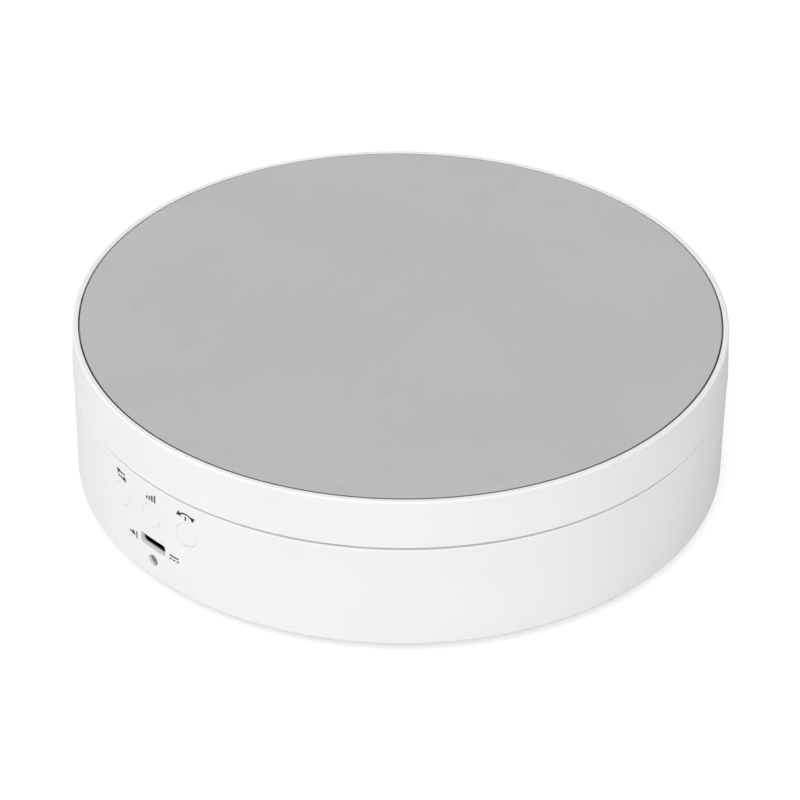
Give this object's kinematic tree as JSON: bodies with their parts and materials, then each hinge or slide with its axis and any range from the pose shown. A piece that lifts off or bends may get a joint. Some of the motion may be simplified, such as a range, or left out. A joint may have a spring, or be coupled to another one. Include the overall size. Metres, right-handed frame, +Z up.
{
  "type": "turntable display stand",
  "caption": "Low round motorised display stand: a grey disc in a white tray that turns on a white base with push buttons, a power socket and an indicator light.",
  "frame": {"origin": "on the table, under the centre of the turntable", "axes": "+Z up along the axis the tray turns about; the buttons and the socket face -Y; +X to the right seen from the front"},
  "size_m": [0.146, 0.146, 0.038],
  "materials": {
    "shell": "white satin moulding",
    "disc": "light grey, fine matt grain",
    "adhesive_film": "thin translucent film",
    "acetal": "natural moulded",
    "screw_steel": "plated",
    "zinc_plate": "zinc plated sheet",
    "blue_plastic": "moulded",
    "lead_insulation": "soft insulation",
    "foot_rubber": "matt",
    "black_plastic": "moulded",
    "board": "solder mask",
    "clear_plastic": "clear, frosted face",
    "capacitor_can": "drawn can",
    "connector_plastic": "moulded"
  },
  "bodies": {
    "base": {"motor_can": "zinc_plate", "motor_plate": "zinc_plate", "motor_terminal_box": "blue_plastic", "motor_leads": "lead_insulation", "motor_screw_left": "screw_steel", "motor_screw_right": "screw_steel", "base_shell": "shell", "bottom_cover": "shell", "pivot_washer": "zinc_plate", "pivot_screw": "screw_steel", "foot_1": "foot_rubber", "foot_2": "foot_rubber", "foot_3": "foot_rubber", "foot_4": "foot_rubber", "cover_screw_1": "screw_steel", "cover_screw_2": "screw_steel", "cover_screw_3": "screw_steel", "cover_screw_4": "screw_steel", "roller_axle_1": "screw_steel", "roller_axle_2": "screw_steel", "roller_axle_3": "screw_steel", "roller_axle_4": "screw_steel", "direction_switch": "black_plastic", "speed_switch": "black_plastic", "angle_switch": "black_plastic", "main_board": "board", "board_screw_left": "screw_steel", "board_screw_right": "screw_steel", "socket_shell": "screw_steel", "socket_insert": "black_plastic", "indicator_lamp": "clear_plastic", "light_guide": "clear_plastic", "control_chip": "black_plastic", "driver_chip": "black_plastic", "smoothing_capacitor": "capacitor_can", "motor_header": "connector_plastic", "motor_plug": "connector_plastic"},
    "turntable": {"top_disc": "disc", "disc_adhesive": "adhesive_film", "tray_shell": "shell", "centre_bush": "acetal", "ring_gear": "acetal", "gear_screw_1": "screw_steel", "gear_screw_2": "screw_steel", "gear_screw_3": "screw_steel"},
    "drive_pinion": {"pinion": "acetal", "motor_shaft": "screw_steel"},
    "roller_1": {"roller_1": "acetal"},
    "roller_2": {"roller_2": "acetal"},
    "roller_3": {"roller_3": "acetal"},
    "roller_4": {"roller_4": "acetal"},
    "direction_button": {"direction_button": "shell", "direction_plunger": "black_plastic"},
    "speed_button": {"speed_button": "shell", "speed_plunger": "black_plastic"},
    "angle_button": {"angle_button": "shell", "angle_plunger": "black_plastic"}
  },
  "joints": [
    {"name": "turntable_spin", "type": "hinge", "parent": "base", "child": "turntable", "pos_m": [0, 0, 0], "axis": [0, 0, 1], "continuous": true},
    {"name": "pinion_spin", "type": "hinge", "parent": "base", "child": "drive_pinion", "pos_m": [0, 0.024, 0], "axis": [0, 0, 1], "continuous": true},
    {"name": "roller_1_spin", "type": "hinge", "parent": "base", "child": "roller_1", "pos_m": [0.0396, 0.0396, 0.0299], "axis": [0.7071, 0.7071, 0], "continuous": true},
    {"name": "roller_2_spin", "type": "hinge", "parent": "base", "child": "roller_2", "pos_m": [-0.0396, 0.0396, 0.0299], "axis": [-0.7071, 0.7071, 0], "continuous": true},
    {"name": "roller_3_spin", "type": "hinge", "parent": "base", "child": "roller_3", "pos_m": [-0.0396, -0.0396, 0.0299], "axis": [-0.7071, -0.7071, 0], "continuous": true},
    {"name": "roller_4_spin", "type": "hinge", "parent": "base", "child": "roller_4", "pos_m": [0.0396, -0.0396, 0.0299], "axis": [0.7071, -0.7071, 0], "continuous": true},
    {"name": "direction_button_press", "type": "slide", "parent": "base", "child": "direction_button", "axis": [0, 1, 0], "range_m": [0, 0.0005], "stiffness_N_per_m": 3000},
    {"name": "speed_button_press", "type": "slide", "parent": "base", "child": "speed_button", "axis": [0, 1, 0], "range_m": [0, 0.0005], "stiffness_N_per_m": 3000},
    {"name": "angle_button_press", "type": "slide", "parent": "base", "child": "angle_button", "axis": [0, 1, 0], "range_m": [0, 0.0005], "stiffness_N_per_m": 3000}
  ],
  "couplings": [
    {"joint": "pinion_spin", "follows": "turntable_spin", "ratio": 5},
    {"joint": "roller_1_spin", "follows": "turntable_spin", "ratio": -16},
    {"joint": "roller_2_spin", "follows": "turntable_spin", "ratio": -16},
    {"joint": "roller_3_spin", "follows": "turntable_spin", "ratio": -16},
    {"joint": "roller_4_spin", "follows": "turntable_spin", "ratio": -16}
  ]
}
